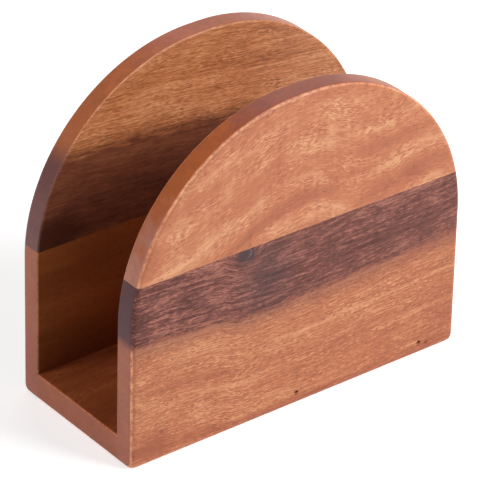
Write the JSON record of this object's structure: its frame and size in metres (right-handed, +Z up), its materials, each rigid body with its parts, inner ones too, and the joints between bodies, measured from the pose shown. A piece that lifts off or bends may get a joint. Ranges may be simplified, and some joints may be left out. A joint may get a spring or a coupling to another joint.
{
  "type": "napkin holder",
  "caption": "Upright napkin holder in edge-glued acacia: arched plates glued and nailed to the long edges of a base board, open at both ends and at the top.",
  "frame": {"origin": "middle of the underside, on the surface the holder stands on", "axes": "+X along the plates, -Y out of the front plate, +Z up"},
  "size_m": [0.15, 0.067, 0.1305],
  "materials": {
    "base_board": "oiled acacia, satin",
    "front_lower_stave": "oiled acacia, satin, with a dark heartwood band along the glue line",
    "front_upper_stave": "oiled acacia, satin, pale with rippled figure",
    "back_lower_stave": "oiled acacia, satin",
    "back_upper_stave": "oiled acacia, satin, with a dark heartwood band along the glue line",
    "nails": "plain steel wire"
  },
  "bodies": {
    "root": {"base_board": "base_board", "front_lower_stave": "front_lower_stave", "front_upper_stave": "front_upper_stave", "back_lower_stave": "back_lower_stave", "back_upper_stave": "back_upper_stave", "front_nails": "nails", "back_nails": "nails"}
  },
  "joints": []
}
